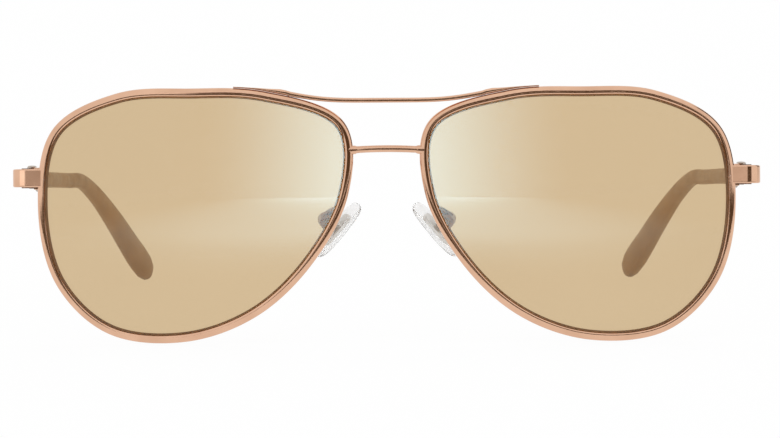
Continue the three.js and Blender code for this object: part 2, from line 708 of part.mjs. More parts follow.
// Materials
const paint = (color, roughness, metalness) => () =>
  new THREE.MeshStandardMaterial({ color, roughness, metalness });
const metal = paint(0xd9a887, 0.2, 1);
const darkMetal = paint(0xb98b6b, 0.28, 1);
const screwMetal = paint(0x8d8079, 0.3, 1);
const glass = paint(0xd3bc9a, 0.08, 0.1);
const sleeve = paint(0x7a5636, 0.35, 0);
const clear = paint(0xe9e8e3, 0.3, 0);
const insertMetal = paint(0xd8d4cc, 0.35, 0.6);

const group = new THREE.Group();
group.name = "aviator_sunglasses";
const nodes = [];
function add(name, geometry, material) {
  const g = welded(geometry);
  g.computeVertexNormals();
  const mesh = new THREE.Mesh(g, material());
  mesh.name = name;
  nodes.push(mesh);
  group.add(mesh);
}
function pair(name, geometry, material) {
  add(`${name}_left`, geometry, material);
  add(`${name}_right`, mirrored(geometry), material);
}

pair("rim", rim, metal);
add("bridge", bridge, darkMetal);
add("brow_bar", browBar, metal);
pair("lens", lens, glass);
pair("endpiece", endpiece, metal);
pair("closing_block_upper", upperBlock, metal);
pair("closing_block_lower", lowerBlock, metal);
pair("closing_screw", closingScrew, screwMetal);
pair("hinge_front", hingeFront, darkMetal);
pair("hinge_temple", hingeTemple, darkMetal);
pair("hinge_screw", hingeScrew, screwMetal);
pair("temple_arm", templeArm, metal);
pair("temple_tip", templeTip, sleeve);
pair("pad_arm", padArm, darkMetal);
pair("pad_box", padBox, darkMetal);
pair("pad_screw", padScrew, screwMetal);
pair("pad_insert", padInsert, insertMetal);
pair("nose_pad", nosePad, clear);

// The origin is under the middle of the bounding box, on the resting plane.
const bounds = new THREE.Box3().setFromObject(group);
const shift = V3(-(bounds.min.x + bounds.max.x) / 2, -(bounds.min.y + bounds.max.y) / 2, -bounds.min.z);
for (const mesh of nodes) mesh.geometry.translate(shift.x, shift.y, shift.z);

export default group;
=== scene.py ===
# %% [markdown]
# # Aviator sunglasses, finished in Blender
# The sunglasses come in as a fixed frame of plain solids with working joints. This lesson leaves
# every solid where it is, lays finer pieces over the ones that need softer forms, and gives each
# surface a material of its own. The first line of code loads that frame.

# %% Load the fixed frame
import json
from math import atan, cos, radians, sin, sqrt, tan

import bmesh
import bpy
from mathutils import Matrix, Vector


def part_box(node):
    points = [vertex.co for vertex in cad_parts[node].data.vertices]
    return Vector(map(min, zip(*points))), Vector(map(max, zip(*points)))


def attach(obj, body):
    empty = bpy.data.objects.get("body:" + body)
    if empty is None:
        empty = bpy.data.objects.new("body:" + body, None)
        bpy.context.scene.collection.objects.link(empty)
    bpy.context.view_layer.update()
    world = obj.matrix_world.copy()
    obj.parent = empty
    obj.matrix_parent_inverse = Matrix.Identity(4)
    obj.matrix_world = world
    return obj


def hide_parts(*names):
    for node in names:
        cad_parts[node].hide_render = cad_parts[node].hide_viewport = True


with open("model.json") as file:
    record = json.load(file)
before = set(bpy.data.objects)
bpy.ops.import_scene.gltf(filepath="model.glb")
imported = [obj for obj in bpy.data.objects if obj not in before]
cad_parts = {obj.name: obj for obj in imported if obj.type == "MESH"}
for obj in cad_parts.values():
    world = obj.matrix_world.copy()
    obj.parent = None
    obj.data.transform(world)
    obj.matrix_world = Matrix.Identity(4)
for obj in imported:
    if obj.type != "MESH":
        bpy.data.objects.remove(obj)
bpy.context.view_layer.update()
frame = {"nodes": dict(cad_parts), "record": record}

MM = 0.001

# %% [markdown]
# Three places steer all the rest: the middle of the left lens, the pin of the left hinge and the
# screw of the left nose pad. The hinge and the screw are joints, so the record states them. The
# lens middle is a fixed step from the corner of the rim's box. Reading them from the frame means
# that nothing has to be fitted by eye.

# %% Places taken from the frame
joints = {j["name"]: j for j in frame["record"]["behaviour"]["joints"]}
PIVOT = Vector(joints["temple_left_fold"]["pos_m"]) / MM
PIN = Vector(joints["temple_left_fold"]["axis"]).normalized()
PAD_AT = Vector(joints["pad_left_rock"]["pos_m"]) / MM
PAD_BACK = Vector(joints["pad_left_rock"]["axis"]).normalized()
LENS_MIDDLE = Vector(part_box("rim_left")[0]) / MM + Vector((30.169, 0.054, 26.435))
print("lens middle", LENS_MIDDLE.to_tuple(2), "hinge", PIVOT.to_tuple(2), "pad screw", PAD_AT.to_tuple(2))

# %% [markdown]
# Most parts of a wire frame are one section drawn along a line. A smooth line through a few
# points can be bent by hand as a Bezier curve, but a small function is handier here, because the
# rim, the lens and the brow bar all have to ask for the same point of the same line.

# %% A smooth line through a few points
def through(points, closed=False):
    pts = [Vector(p) for p in points]
    n = len(pts)

    def pick(k):
        if closed:
            return pts[k % n]
        if k < 0:
            return 2 * pts[0] - pts[1]
        return pts[k] if k < n else 2 * pts[-1] - pts[-2]

    def at(t):
        s = (t % 1) * n if closed else min(max(t, 0), 1) * (n - 1)
        i = int(s) if closed else min(int(s), n - 2)
        w = s - i
        a, b, c, d = (pick(i + k) for k in (-1, 0, 1, 2))
        e, f, g = ((q - p).length ** 0.5 for p, q in ((a, b), (b, c), (c, d)))
        m = ((b - a) / e - (c - a) / (e + f) + (c - b) / f) * f
        o = ((c - b) / f - (d - b) / (f + g) + (d - c) / g) * f
        return b + m * w + (3 * (c - b) - 2 * m - o) * w**2 + (2 * (b - c) + m + o) * w**3

    return at


def evenly(line, steps=400):
    # The same line, asked by its share of the length.
    spots = [line(i / steps) for i in range(steps + 1)]
    run = [0.0]
    for a, b in zip(spots, spots[1:]):
        run.append(run[-1] + (b - a).length)

    def at(share):
        want = min(max(share, 0), 1) * run[-1]
        i = next((k for k in range(1, steps + 1) if run[k] >= want), steps)
        k = (want - run[i - 1]) / (run[i] - run[i - 1])
        return line((i - 1 + k) / steps)

    return at, run[-1]


def stand(at, x, y):
    # A place for a section: its own x and y directions, and z along the line.
    m = Matrix((x, y, x.cross(y))).transposed().to_4x4()
    m.translation = at
    return m


# %% [markdown]
# Now the modelling tools. A section starts as a flat face of a few points, and a vertex bevel
# rounds its corners. A sweep lays that loop down once, then extrudes the loop of edges again and
# again and moves each new loop to the next place. That is what a modeller does by hand with E, G
# and R, and it keeps the faces in clean rows that take a smooth polish.

# %% Rounded sections and sweeps
def rounded(corners, radii, steps=3):
    bm = bmesh.new()
    bm.faces.new([bm.verts.new((x, y, 0)) for x, y in corners])
    for v, r in zip(list(bm.verts), radii if isinstance(radii, (list, tuple)) else [radii] * len(corners)):
        if r:
            bmesh.ops.bevel(bm, geom=[v], offset=r, offset_type="OFFSET", segments=steps,
                            profile=0.5, affect="VERTICES", material=-1)
    section = [(c.vert.co.x, c.vert.co.y) for c in bm.faces[:][0].loops]
    bm.free()
    return section


def bar_section(width, height, radius, steps=3):
    w, h = width / 2, height / 2
    return rounded([(-w, -h), (w, -h), (w, h), (-w, h)], radius, steps)


def wire_section(radius=1.0, around=20):
    bm = bmesh.new()
    bmesh.ops.create_circle(bm, segments=around, radius=radius, cap_ends=True)
    section = [(c.vert.co.x, c.vert.co.y) for c in bm.faces[:][0].loops]
    bm.free()
    return section


def sweep(bm, section, places, closed_section=True, caps=True, slot=0):
    verts = [bm.verts.new((x, y, 0)) for x, y in section]
    ends = verts[1:] + verts[:1] if closed_section else verts[1:]
    loop = [bm.edges.new(pair) for pair in zip(verts, ends)]
    bmesh.ops.transform(bm, matrix=places[0], verts=verts)
    first = loop
    made = set()
    for here, there in zip(places, places[1:]):
        grown = bmesh.ops.extrude_edge_only(bm, edges=loop)["geom"]
        fresh = {g for g in grown if isinstance(g, bmesh.types.BMVert)}
        made |= {g for g in grown if isinstance(g, bmesh.types.BMFace)}
        bmesh.ops.transform(bm, matrix=there @ here.inverted(), verts=list(fresh))
        loop = [g for g in grown if isinstance(g, bmesh.types.BMEdge) and set(g.verts) <= fresh]
    if caps:
        for end in (first, loop):
            made |= set(bmesh.ops.edgeloop_fill(bm, edges=end)["faces"])
    for f in made:
        f.material_index = slot
    return first, loop


def along_wire(line, steps, size=lambda s: 1.0, start=0.0, end=1.0):
    # Places down a bent wire, each turned by no more than the bend itself.
    spots = [line(start + (end - start) * i / steps) for i in range(steps + 1)]
    ways = [(b - a).normalized() for a, b in zip(spots, spots[1:])]
    ways = [ways[0]] + [(a + b).normalized() for a, b in zip(ways, ways[1:])] + [ways[-1]]
    side = ways[0].orthogonal().normalized()
    places = []
    for i, (p, w) in enumerate(zip(spots, ways)):
        if i:
            side = ways[i - 1].rotation_difference(w) @ side
        places.append(stand(p, side, w.cross(side)) @ Matrix.Diagonal((*[size(i / steps)] * 2, 1, 1)))
    return places


# %% [markdown]
# Each finished piece is cleaned in the same order: merge doubled points, turn the faces outwards,
# shade smooth, and mark as sharp only the edges that really turn a corner. Then it is scaled from
# millimetres to metres and tied to the body it moves with, and the solid it stands for is hidden. The
# right side is the left side mirrored, which turns faces inside out, so they are turned again.

# %% Finishing a piece
def finish_piece(bm, name, body, slot, materials, stands_for, sharp=38, rounding=0, flats=False):
    bmesh.ops.remove_doubles(bm, verts=bm.verts[:], dist=0.0005)
    bmesh.ops.recalc_face_normals(bm, faces=bm.faces[:])
    bmesh.ops.scale(bm, vec=(MM, MM, MM), verts=bm.verts[:])
    for f in bm.faces:
        f.smooth = True
    for e in bm.edges:
        e.smooth = not (e.is_manifold and e.calc_face_angle() > radians(sharp))
    open_edges = sum(not e.is_manifold for e in bm.edges)
    mesh = bpy.data.meshes.new(name)
    bm.to_mesh(mesh)
    bm.free()
    for m in materials:
        mesh.materials.append(m)
    piece = bpy.data.objects.new(name, mesh)
    bpy.context.scene.collection.objects.link(piece)
    if flats:
        even = piece.modifiers.new("even flats", "WEIGHTED_NORMAL")
        even.keep_sharp = True
    if rounding:
        soft = piece.modifiers.new("soft form", "SUBSURF")
        soft.levels = soft.render_levels = rounding
    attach(piece, body)
    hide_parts(stands_for)
    print(f"{name}: {len(mesh.polygons)} faces, {open_edges} open edges")


def both_sides(bm, name, body, slot, materials, stands_for, **how):
    # {} in a name stands for the side.
    other = bm.copy()
    bmesh.ops.scale(other, vec=(-1, 1, 1), verts=other.verts[:])
    for side, half in (("left", bm), ("right", other)):
        finish_piece(half, name.format(side), body.format(side), slot, materials,
                     stands_for.format(side), **how)


# %% [markdown]
# ## Materials
# Surfaces that look plain are never quite plain: plating has a slow drift of tone, polishing
# leaves hairlines, and hands leave faint smears. Those three effects are shared, so each is a node
# group with its own inputs. They hand out values only, and every material keeps its own shader.

# %% Small helpers for nodes
def add_node(tree, kind, settings=None, **inputs):
    node = tree.nodes.new(kind)
    for key, value in (settings or {}).items():
        setattr(node, key, value)
    for key, value in inputs.items():
        socket = node.inputs[key.replace("_", " ")]
        if isinstance(value, bpy.types.NodeSocket):
            tree.links.new(value, socket)
        else:
            socket.default_value = value
    return node


def new_effect(name, inputs, output):
    tree = bpy.data.node_groups.new(name, "ShaderNodeTree")
    for label, value in inputs.items():
        s = tree.interface.new_socket(name=label, in_out="INPUT", socket_type="NodeSocketFloat")
        s.default_value = value
    tree.interface.new_socket(name=output, in_out="OUTPUT", socket_type="NodeSocketFloat")
    return tree, tree.nodes.new("NodeGroupInput").outputs, tree.nodes.new("NodeGroupOutput").inputs[output]


def use_effect(tree, effect, **inputs):
    return add_node(tree, "ShaderNodeGroup", {"node_tree": effect}, **inputs).outputs[0]


# %% Effect one: slow drift between two values
drift, given, result = new_effect("slow_drift", {"Size": 200.0, "Low": 0.0, "High": 1.0}, "Value")
spot = add_node(drift, "ShaderNodeTexCoord").outputs["Object"]
cloud = add_node(drift, "ShaderNodeTexNoise", Vector=spot, Scale=given["Size"], Detail=3.0)
span = add_node(drift, "ShaderNodeMapRange", Value=cloud.outputs["Fac"])
span.inputs["From Min"].default_value = 0.32
span.inputs["From Max"].default_value = 0.68
drift.links.new(given["Low"], span.inputs["To Min"])
drift.links.new(given["High"], span.inputs["To Max"])
drift.links.new(span.outputs[0], result)

# %% Effect two: polishing hairlines, long in one direction
hairlines, given, result = new_effect("polishing_hairlines", {"Size": 3000.0, "Stretch": 12.0}, "Height")
spot = add_node(hairlines, "ShaderNodeTexCoord").outputs["Object"]
wide = add_node(hairlines, "ShaderNodeMath", {"operation": "DIVIDE"})
hairlines.links.new(given["Size"], wide.inputs[0])
hairlines.links.new(given["Stretch"], wide.inputs[1])
across = add_node(hairlines, "ShaderNodeCombineXYZ", X=wide.outputs[0], Y=given["Size"], Z=given["Size"])
lines = add_node(hairlines, "ShaderNodeVectorMath", {"operation": "MULTIPLY"})
hairlines.links.new(spot, lines.inputs[0])
hairlines.links.new(across.outputs[0], lines.inputs[1])
fine = add_node(hairlines, "ShaderNodeTexNoise", Vector=lines.outputs[0], Scale=1.0, Detail=2.0)
hairlines.links.new(fine.outputs["Fac"], result)

# %% Effect three: faint smears left by hands
smears, given, result = new_effect("hand_smears", {"Size": 60.0, "Amount": 1.0}, "Mask")
spot = add_node(smears, "ShaderNodeTexCoord").outputs["Object"]
bent = add_node(smears, "ShaderNodeTexNoise", Vector=spot, Scale=given["Size"], Detail=4.0, Distortion=1.4)
eased = {"interpolation_type": "SMOOTHSTEP"}
spread = add_node(smears, "ShaderNodeMapRange", eased, Value=bent.outputs["Fac"])
spread.inputs["From Min"].default_value = 0.52
spread.inputs["From Max"].default_value = 0.72
smears.links.new(given["Amount"], spread.inputs["To Max"])
smears.links.new(spread.outputs[0], result)
print("effects:", [g.name for g in (drift, hairlines, smears)])

# %% [markdown]
# A finish is a base colour that drifts between two near tones, a roughness that drifts between two
# values, and a very small bump. One function makes such a finish. What sets the metals, the
# sleeve and the steel apart is the values they are given.

# %% One function for the opaque finishes
def finish(name, tones, roughness, metallic, size, bump, hair, stretch=12.0, smear=0.0, **plain):
    material = bpy.data.materials.new(name)
    material.use_nodes = True
    tree = material.node_tree
    shader = tree.nodes["Principled BSDF"]
    shader.inputs["Metallic"].default_value = metallic
    for key, value in plain.items():
        shader.inputs[key.replace("_", " ")].default_value = value
    mix = add_node(tree, "ShaderNodeMix", {"data_type": "RGBA"})
    tree.links.new(use_effect(tree, drift, Size=size, Low=0.0, High=1.0), mix.inputs[0])
    mix.inputs[6].default_value = (*tones[0], 1)
    mix.inputs[7].default_value = (*tones[1], 1)
    tree.links.new(mix.outputs[2], shader.inputs["Base Color"])
    rough = use_effect(tree, drift, Size=size * 2.3, Low=roughness[0], High=roughness[1])
    if smear:
        handled = add_node(tree, "ShaderNodeMath", {"operation": "ADD"})
        tree.links.new(rough, handled.inputs[0])
        tree.links.new(use_effect(tree, smears, Size=90.0, Amount=smear), handled.inputs[1])
        rough = handled.outputs[0]
    tree.links.new(rough, shader.inputs["Roughness"])
    scratches = use_effect(tree, hairlines, Size=hair, Stretch=stretch)
    relief = add_node(tree, "ShaderNodeBump", Height=scratches, Strength=bump, Distance=0.0001)
    tree.links.new(relief.outputs[0], shader.inputs["Normal"])
    print("finish", name)
    return material


# %% [markdown]
# The frame is plated in a pale copper tone and polished, the hinge parts are the same tone left
# satin, and the little screws are turned steel with a brownish cast. Polished metal shows mostly
# what stands round it, so its roughness is low and its hairlines are barely there.

# %% The metals
polished_copper = finish("polished_copper", [(0.76, 0.475, 0.325), (0.69, 0.42, 0.28)], (0.07, 0.13), 1.0,
                         260, 0.05, 5200, smear=0.05)
satin_copper = finish("satin_copper", [(0.47, 0.30, 0.20), (0.40, 0.25, 0.165)], (0.24, 0.38), 1.0,
                      500, 0.25, 4200, stretch=5)
# Painted shade: dark brown copper on the rim's inner lip, for the shadow in the gap at the lens.
rim_lip = finish("rim_lip", [(0.40, 0.17, 0.06), (0.33, 0.135, 0.045)], (0.2, 0.32), 1.0,
                 400, 0.2, 3000, stretch=3)
turned_steel = finish("turned_steel", [(0.55, 0.48, 0.42), (0.45, 0.39, 0.34)], (0.22, 0.34), 1.0,
                      900, 0.3, 6000, stretch=3)
pad_core = finish("pad_core", [(0.83, 0.81, 0.77), (0.74, 0.72, 0.68)], (0.3, 0.42), 0.6,
                  700, 0.2, 3500, stretch=2)

# %% [markdown]
# The sleeves are a brown cellulose plastic that is tumbled to a soft gloss. It isn't one flat
# brown: the sheet it is cut from has slow clouds of lighter and darker resin, and the surface
# dulls a little where fingers hold it.

# %% The brown sleeves
brown_plastic = finish("brown_plastic", [(0.315, 0.190, 0.075), (0.385, 0.235, 0.098)], (0.3, 0.42), 0.0,
                       170, 0.12, 2600, stretch=4, smear=0.12, IOR=1.49)

# %% [markdown]
# A tinted lens is clear plastic with dye in it. Light passes two faces and each face tints it. The
# tint and the index of 1.42 were chosen against the photo: lens plastic is nearer 1.5. The
# tint drifts a hair's breadth and smears lift the roughness a little, as on any lens that has been
# worn. The ground rim of the lens is a second material: it is frosted, and its dark brown is
# painted shade for the gap between lens and rim.

# %% Lens and ground lens edge
def clear_finish(name, tones, roughness, ior, size, smear):
    material = bpy.data.materials.new(name)
    material.use_nodes = True
    tree = material.node_tree
    shader = tree.nodes["Principled BSDF"]
    shader.inputs["Transmission Weight"].default_value = 1.0
    shader.inputs["IOR"].default_value = ior
    mix = add_node(tree, "ShaderNodeMix", {"data_type": "RGBA"})
    tree.links.new(use_effect(tree, drift, Size=size, Low=0.0, High=1.0), mix.inputs[0])
    mix.inputs[6].default_value = (*tones[0], 1)
    mix.inputs[7].default_value = (*tones[1], 1)
    tree.links.new(mix.outputs[2], shader.inputs["Base Color"])
    touched = add_node(tree, "ShaderNodeMath", {"operation": "ADD"})
    touched.inputs[0].default_value = roughness
    tree.links.new(use_effect(tree, smears, Size=55.0, Amount=smear), touched.inputs[1])
    tree.links.new(touched.outputs[0], shader.inputs["Roughness"])
    print("finish", name)
    return material


tan_lens = clear_finish("tan_lens", [(0.655, 0.492, 0.292), (0.638, 0.477, 0.280)], 0.0, 1.42, 22, 0.012)
# Painted shade: the frosted lens edge is coloured dark brown for the shade in the gap inside the rim.
frosted_edge_and_painted_shade = finish("frosted_edge_and_painted_shade", [(0.46, 0.25, 0.10), (0.54, 0.31, 0.13)], (0.5, 0.65), 0.0,
                     400, 0.3, 2500, stretch=2)

# %% [markdown]
# The nose pads are moulded from clear silicone. Thick soft rubber is never water clear, so the
# shader mixes plain transmission with a share of milky body, and a slightly uneven roughness stands
# for the fine grain of the mould. The index of 1.10 was chosen the same way: real silicone is
# about 1.4.

# %% Clear silicone
silicone = clear_finish("silicone", [(0.995, 0.995, 0.995), (0.985, 0.985, 0.985)], 0.16, 1.10, 240, 0.08)
silicone.node_tree.nodes["Principled BSDF"].inputs["Transmission Weight"].default_value = 0.86

# %% [markdown]
# ## The front
# The lens outline is drawn square on, through twelve points, and then laid on a ball: lenses of
# this kind are cut from a shell of 88 mm radius, and the rim wire is bent to the same ball. A
# flat outline would leave gaps as soon as the glasses are seen from above.

# %% The outline on its ball
BALL_RADIUS = 88.0
FORM = radians(6)
LENS_WIDTH, LENS_HEIGHT = 57.5, 44.9
RIM_WIDTH, RIM_DEPTH = 1.75, 1.9
outline = through([(x * LENS_WIDTH / 57.5, y * LENS_HEIGHT / 45.1, 0) for x, y in (
    (-20.4, -10.3), (-10.3, -19.7), (2.7, -24.4), (17.1, -23.1), (26.3, -14.3), (29.3, 0.1),
    (26.7, 13.4), (14.8, 19.8), (0.9, 20.7), (-12.7, 20.1), (-26.6, 14.8), (-27.1, 2.5))], closed=True)
ACROSS = Vector((cos(FORM), sin(FORM), 0))
UP = Vector((0, 0, 1))
BALL = LENS_MIDDLE + BALL_RADIUS * Vector((-sin(FORM), cos(FORM), 0))


def on_ball(u, v):
    depth = BALL_RADIUS - sqrt(BALL_RADIUS**2 - u * u - v * v)
    p = LENS_MIDDLE + ACROSS * u + UP * v + Vector((-sin(FORM), cos(FORM), 0)) * depth
    return p, (p - BALL).normalized()


def edge_place(t):
    # x points away from the lens, y to the front.
    q, ahead = outline(t), outline(t + 0.001)
    p, front = on_ball(q.x, q.y)
    way = (on_ball(ahead.x, ahead.y)[0] - p).normalized()
    out = way.cross(front).normalized()
    return stand(p, out, front - out * front.dot(out))


def outline_at(height, side):
    tries = [i / 2000 for i in range(2000)]
    return min((t for t in tries if outline(t).x * side > 0), key=lambda t: abs(outline(t).y - height))


split = outline_at(4.8, 1)
steps = [outline(i / 400) - outline((i + 1) / 400) for i in range(400)]
print("outline round length", round(sum(step.length for step in steps), 1))

# %% [markdown]
# A rim is one wire with a groove for the lens, closed by a screw at the outer side. Its section
# has a gently crowned face, round outer corners and a shallow groove inside. The crown matters:
# on a polished wire it is what spreads the reflections into a pale band, a dark line and a warm
# band. The sweep starts and ends at the closing slot, which the screw has pulled nearly shut.

# %% Rims
crown = [(0, 0.6), (0, 0.42), (0.52, 0), (0, -0.42), (0, -0.6), (0.26, -0.84), (0.8, -0.95), (1.36, -0.8),
         (1.70, -0.36), (1.70, 0.36), (1.36, 0.8), (0.8, 0.95), (0.26, 0.84)]
rounding = [0.05, 0, 0.08, 0, 0.05, 0.14, 0.25, 0.25, 0.22, 0.22, 0.25, 0.25, 0.14]
rim_section = rounded(crown, rounding, 2)
slot_half = 0.02 / 165  # half the closing slot, as a share of the outline
rim_places = [edge_place(split + slot_half + (1 - 2 * slot_half) * i / 280) for i in range(281)]
bm = bmesh.new()
sweep(bm, rim_section, rim_places)
# Faces within 0.2 mm of the lens outline, the inner lip and groove, get the second material: painted shade.
rim_line = [outline(i / 600) for i in range(600)]
for f in bm.faces:
    middle = f.calc_center_median() - LENS_MIDDLE
    flat = Vector((middle.dot(ACROSS), middle.z, 0))
    near = min((flat - q).length for q in rim_line[::6])
    f.material_index = int(near < 0.2)
both_sides(bm, "rim_{}_wire", "front", "polished_frame", [polished_copper, rim_lip], "rim_{}")

# %% [markdown]
# A lens blank could be cut from a sphere with a knife, but its edge would be ragged. Here the edge
# profile, a V ridge with two small flats, is swept once round the outline. Then the front and the
# back opening are each extruded inwards in rings that shrink towards the middle and are pressed
# back on the ball, until the last ring closes to a point. The faces come out truly spherical, so
# reflections glide over them.

# %% Lenses
def press_on_ball(verts, radius):
    for v in verts:
        v.co = BALL + (v.co - BALL).normalized() * radius


bm = bmesh.new()
LENS_HALF = 0.72  # half the thickness
half_profile = [(-0.16, LENS_HALF), (-0.05, 0.56), (-0.05, 0.32)]
edge_profile = half_profile + [(0.4, 0)] + [(x, -y) for x, y in half_profile[::-1]]
places = [edge_place(i / 240) for i in range(240)]
sweep(bm, edge_profile, places + places[:1], closed_section=False, caps=False, slot=1)
bmesh.ops.remove_doubles(bm, verts=bm.verts[:], dist=0.0005)
RINGS = 14
for radius in (BALL_RADIUS + LENS_HALF, BALL_RADIUS - LENS_HALF):
    loop = [e for e in bm.edges if e.is_boundary and abs((e.verts[0].co - BALL).length - radius) < 0.3]
    for ring in range(RINGS):
        grown = bmesh.ops.extrude_edge_only(bm, edges=loop)["geom"]
        fresh = [g for g in grown if isinstance(g, bmesh.types.BMVert)]
        left = (RINGS - ring - 1) / (RINGS - ring)
        bmesh.ops.scale(bm, vec=(max(left, 0.001),) * 3, verts=fresh, space=Matrix.Translation(-LENS_MIDDLE))
        press_on_ball(fresh, radius)
        for g in grown:
            if isinstance(g, bmesh.types.BMFace):
                g.material_index = 0
        keep = set(fresh)
        loop = [g for g in grown if isinstance(g, bmesh.types.BMEdge) and set(g.verts) <= keep]
    bmesh.ops.pointmerge(bm, verts=fresh, merge_co=sum((v.co for v in fresh), Vector()) / len(fresh))
both_sides(bm, "lens_{}_shell", "front", "tinted_lens", [tan_lens, frosted_edge_and_painted_shade], "lens_{}", sharp=24)

# %% [markdown]
# The brow bar is a flat wire soldered on top of both rims. Its ends are filed to a feather edge,
# so they seem to grow out of the rims, and between them it sags a little. The sweep follows the
# rim top for the filed part and a Bezier arc for the free part, and the section only changes its
# height on the way.

# %% Brow bar
def top_at(x):
    tries = [i / 2000 for i in range(2000)]
    high = [t for t in tries if edge_place(t).col[0].z > 0.5]
    return min(high, key=lambda t: abs(edge_place(t).translation.x - x))


def bezier(a, b, c, d, t):
    return a * (1 - t) ** 3 + 3 * b * t * (1 - t) ** 2 + 3 * c * t * t * (1 - t) + d * t**3


BROW_HEIGHT, BROW_DEPTH = 0.9, 1.7
FEATHER, ARC = 30, 24
start, leave = top_at(29.0), top_at(19.5)
stations = []
for i in range(FEATHER + 1):
    m = edge_place(start + (leave - start) * i / FEATHER)
    height = 0.10 + (BROW_HEIGHT - 0.10) * min(1, i / FEATHER / 0.9) ** 2.2
    stations.append((m @ Vector((RIM_WIDTH + 0.02 + height / 2, 0, 0)), m.col[0].to_3d(), height))
(a, _, _), (b, _, _) = stations[-1], stations[-4]
run = (a - b).normalized()
low = Vector((0, a.y - 0.25, LENS_MIDDLE.z + 20.8 * LENS_HEIGHT / 45.1 + RIM_WIDTH - 2.1 - BROW_HEIGHT / 2))
legs = (a, a + run * 7.8, Vector((8.775, low.y, low.z)), low)
for i in range(1, ARC + 1):
    p, q = bezier(*legs, i / ARC), bezier(*legs, i / ARC - 0.01)
    way = (p - q).normalized()
    stations.append((p, Vector((way.z, 0, -way.x)).normalized(), BROW_HEIGHT))
stations += [(Vector((-p.x, p.y, p.z)), Vector((-up.x, up.y, up.z)), h) for p, up, h in stations[-2::-1]]
places = []
for i, (p, up, height) in enumerate(stations):
    way = (stations[min(i + 1, len(stations) - 1)][0] - stations[max(i - 1, 0)][0]).normalized()
    back = way.cross(up).normalized()
    taper = Matrix.Diagonal((height / BROW_HEIGHT, 1, 1, 1))
    places.append(stand(p, back.cross(way).normalized(), back) @ taper)
bm = bmesh.new()
sweep(bm, bar_section(BROW_HEIGHT, BROW_DEPTH, 0.36, 4), places)
finish_piece(bm, "brow_bar_wire", "front", "polished_frame", [polished_copper], "brow_bar")

# %% [markdown]
# The bridge is a short round wire between the rims. Where a wire is brazed to a rim the metal
# flows into a small collar, so the wire's radius grows at both ends. A separate cone would show a
# seam; a sweep whose size changes doesn't.

# %% Bridge
foot = edge_place(outline_at(10.4, -1)) @ Vector((RIM_WIDTH / 2, 0, 0))
bridge_line = through([foot, (foot.x * 0.5, foot.y - 0.55, foot.z + 0.22), (0, foot.y - 0.8, foot.z + 0.3),
                       (-foot.x * 0.5, foot.y - 0.55, foot.z + 0.22), (-foot.x, foot.y, foot.z)])


BRIDGE_RADIUS = 0.66


def collar(s):
    # Radius along the bridge: a brazed collar, a small step, then the plain wire.
    d = min(s, 1 - s)
    return BRIDGE_RADIUS + 0.16 * max(0.0, 1 - max(0.0, d - 0.085) / 0.025) + 0.14 * max(0.0, 1 - d / 0.075)


bm = bmesh.new()
sweep(bm, wire_section(), along_wire(bridge_line, 90, collar))
finish_piece(bm, "bridge_wire", "front", "polished_frame", [polished_copper], "bridge")
print("bridge radius in mm:", round(collar(0.5), 2), "at the rims:", round(collar(0.05), 2))

# %% [markdown]
# ## Endpieces and temples
# An endpiece is a flat strip brazed to the outer side of the rim, bent back through a right angle
# to meet the hinge. It is easiest to model in the hinge's own directions, so a place matrix turns
# a flat path into the glasses. Its long edges are eased, and they catch a bright line.

# %% Endpieces
BACK = Vector((0, PIN.z, -PIN.y))
hinge_place = stand(PIVOT, Vector((1, 0, 0)), BACK)


def strip_place(x, y, turn):
    # The section's x is the strip's thickness, its y the height.
    return hinge_place @ Matrix.Translation((x, y, 0)) @ stand(
        Vector((0, 0, 0)), Vector((sin(turn), -cos(turn), 0)), Vector((0, 0, 1)))


STRIP_THICKNESS, STRIP_HEIGHT, BEND_RADIUS = 1.5, 3.45, 1.95
ARM_OUT = 2.7  # from the hinge pin to the middle of the bar
FRONT_Y, SQUARE = -4.45, radians(90)
EASED_END = Matrix.Diagonal((0.84, 0.93, 1, 1))
bend = Vector((0.75, -2.5))
path = [(x, FRONT_Y, 0.0) for x in (-2.3, -1.5, -0.4, 0.4)]
path += [(bend.x + BEND_RADIUS * sin(a), bend.y - BEND_RADIUS * cos(a), a)
         for a in (radians(degrees) for degrees in range(0, 91, 6))]
path += [(ARM_OUT, y, SQUARE) for y in (-1.6, -0.5, -0.17)]
places = [strip_place(*p) for p in path]
places.append(strip_place(ARM_OUT, -0.05, SQUARE) @ EASED_END)
bm = bmesh.new()
sweep(bm, bar_section(STRIP_THICKNESS, STRIP_HEIGHT, 0.3, 4), places)
both_sides(bm, "endpiece_{}_strip", "front", "polished_frame", [polished_copper], "endpiece_{}",
           flats=True)

# %% [markdown]
# A temple is a flat metal bar that runs on as a thin core inside a plastic sleeve. Both follow one
# centre line: nearly straight to the ear, then down and inwards. The bar steps down just before
# the sleeve's mouth, and the mouth hugs it.

# %% Temple centre line
TEMPLE_LENGTH, SLEEVE_START, CORE_END = 133.0, 34.0, 108.0
rise = PIVOT.z - 0.0609
arm_x = PIVOT.x + ARM_OUT
fall = tan(radians(4))
knots = [(0, 0, rise), (-0.05, 0.1, rise - 13.3 * fall), (-1.3, 0.34, rise - 45.22 * fall),
         (-3.7, 0.6, rise - 79.8 * fall), (-5.3, 0.7, rise * 0.785), (-7.7, 0.79, rise * 0.655),
         (-10.8, 0.87, rise * 0.455), (-14.2, 0.94, rise * 0.225), (-17.4, 1.0, rise * 0.0297)]
temple_line, temple_run = evenly(through(
    [(arm_x + x, PIVOT.y + y * TEMPLE_LENGTH, z + 0.0609) for x, y, z in knots]))


def share_at(y):
    return min((i / 1000 for i in range(1001)), key=lambda s: abs(temple_line(s).y - y))


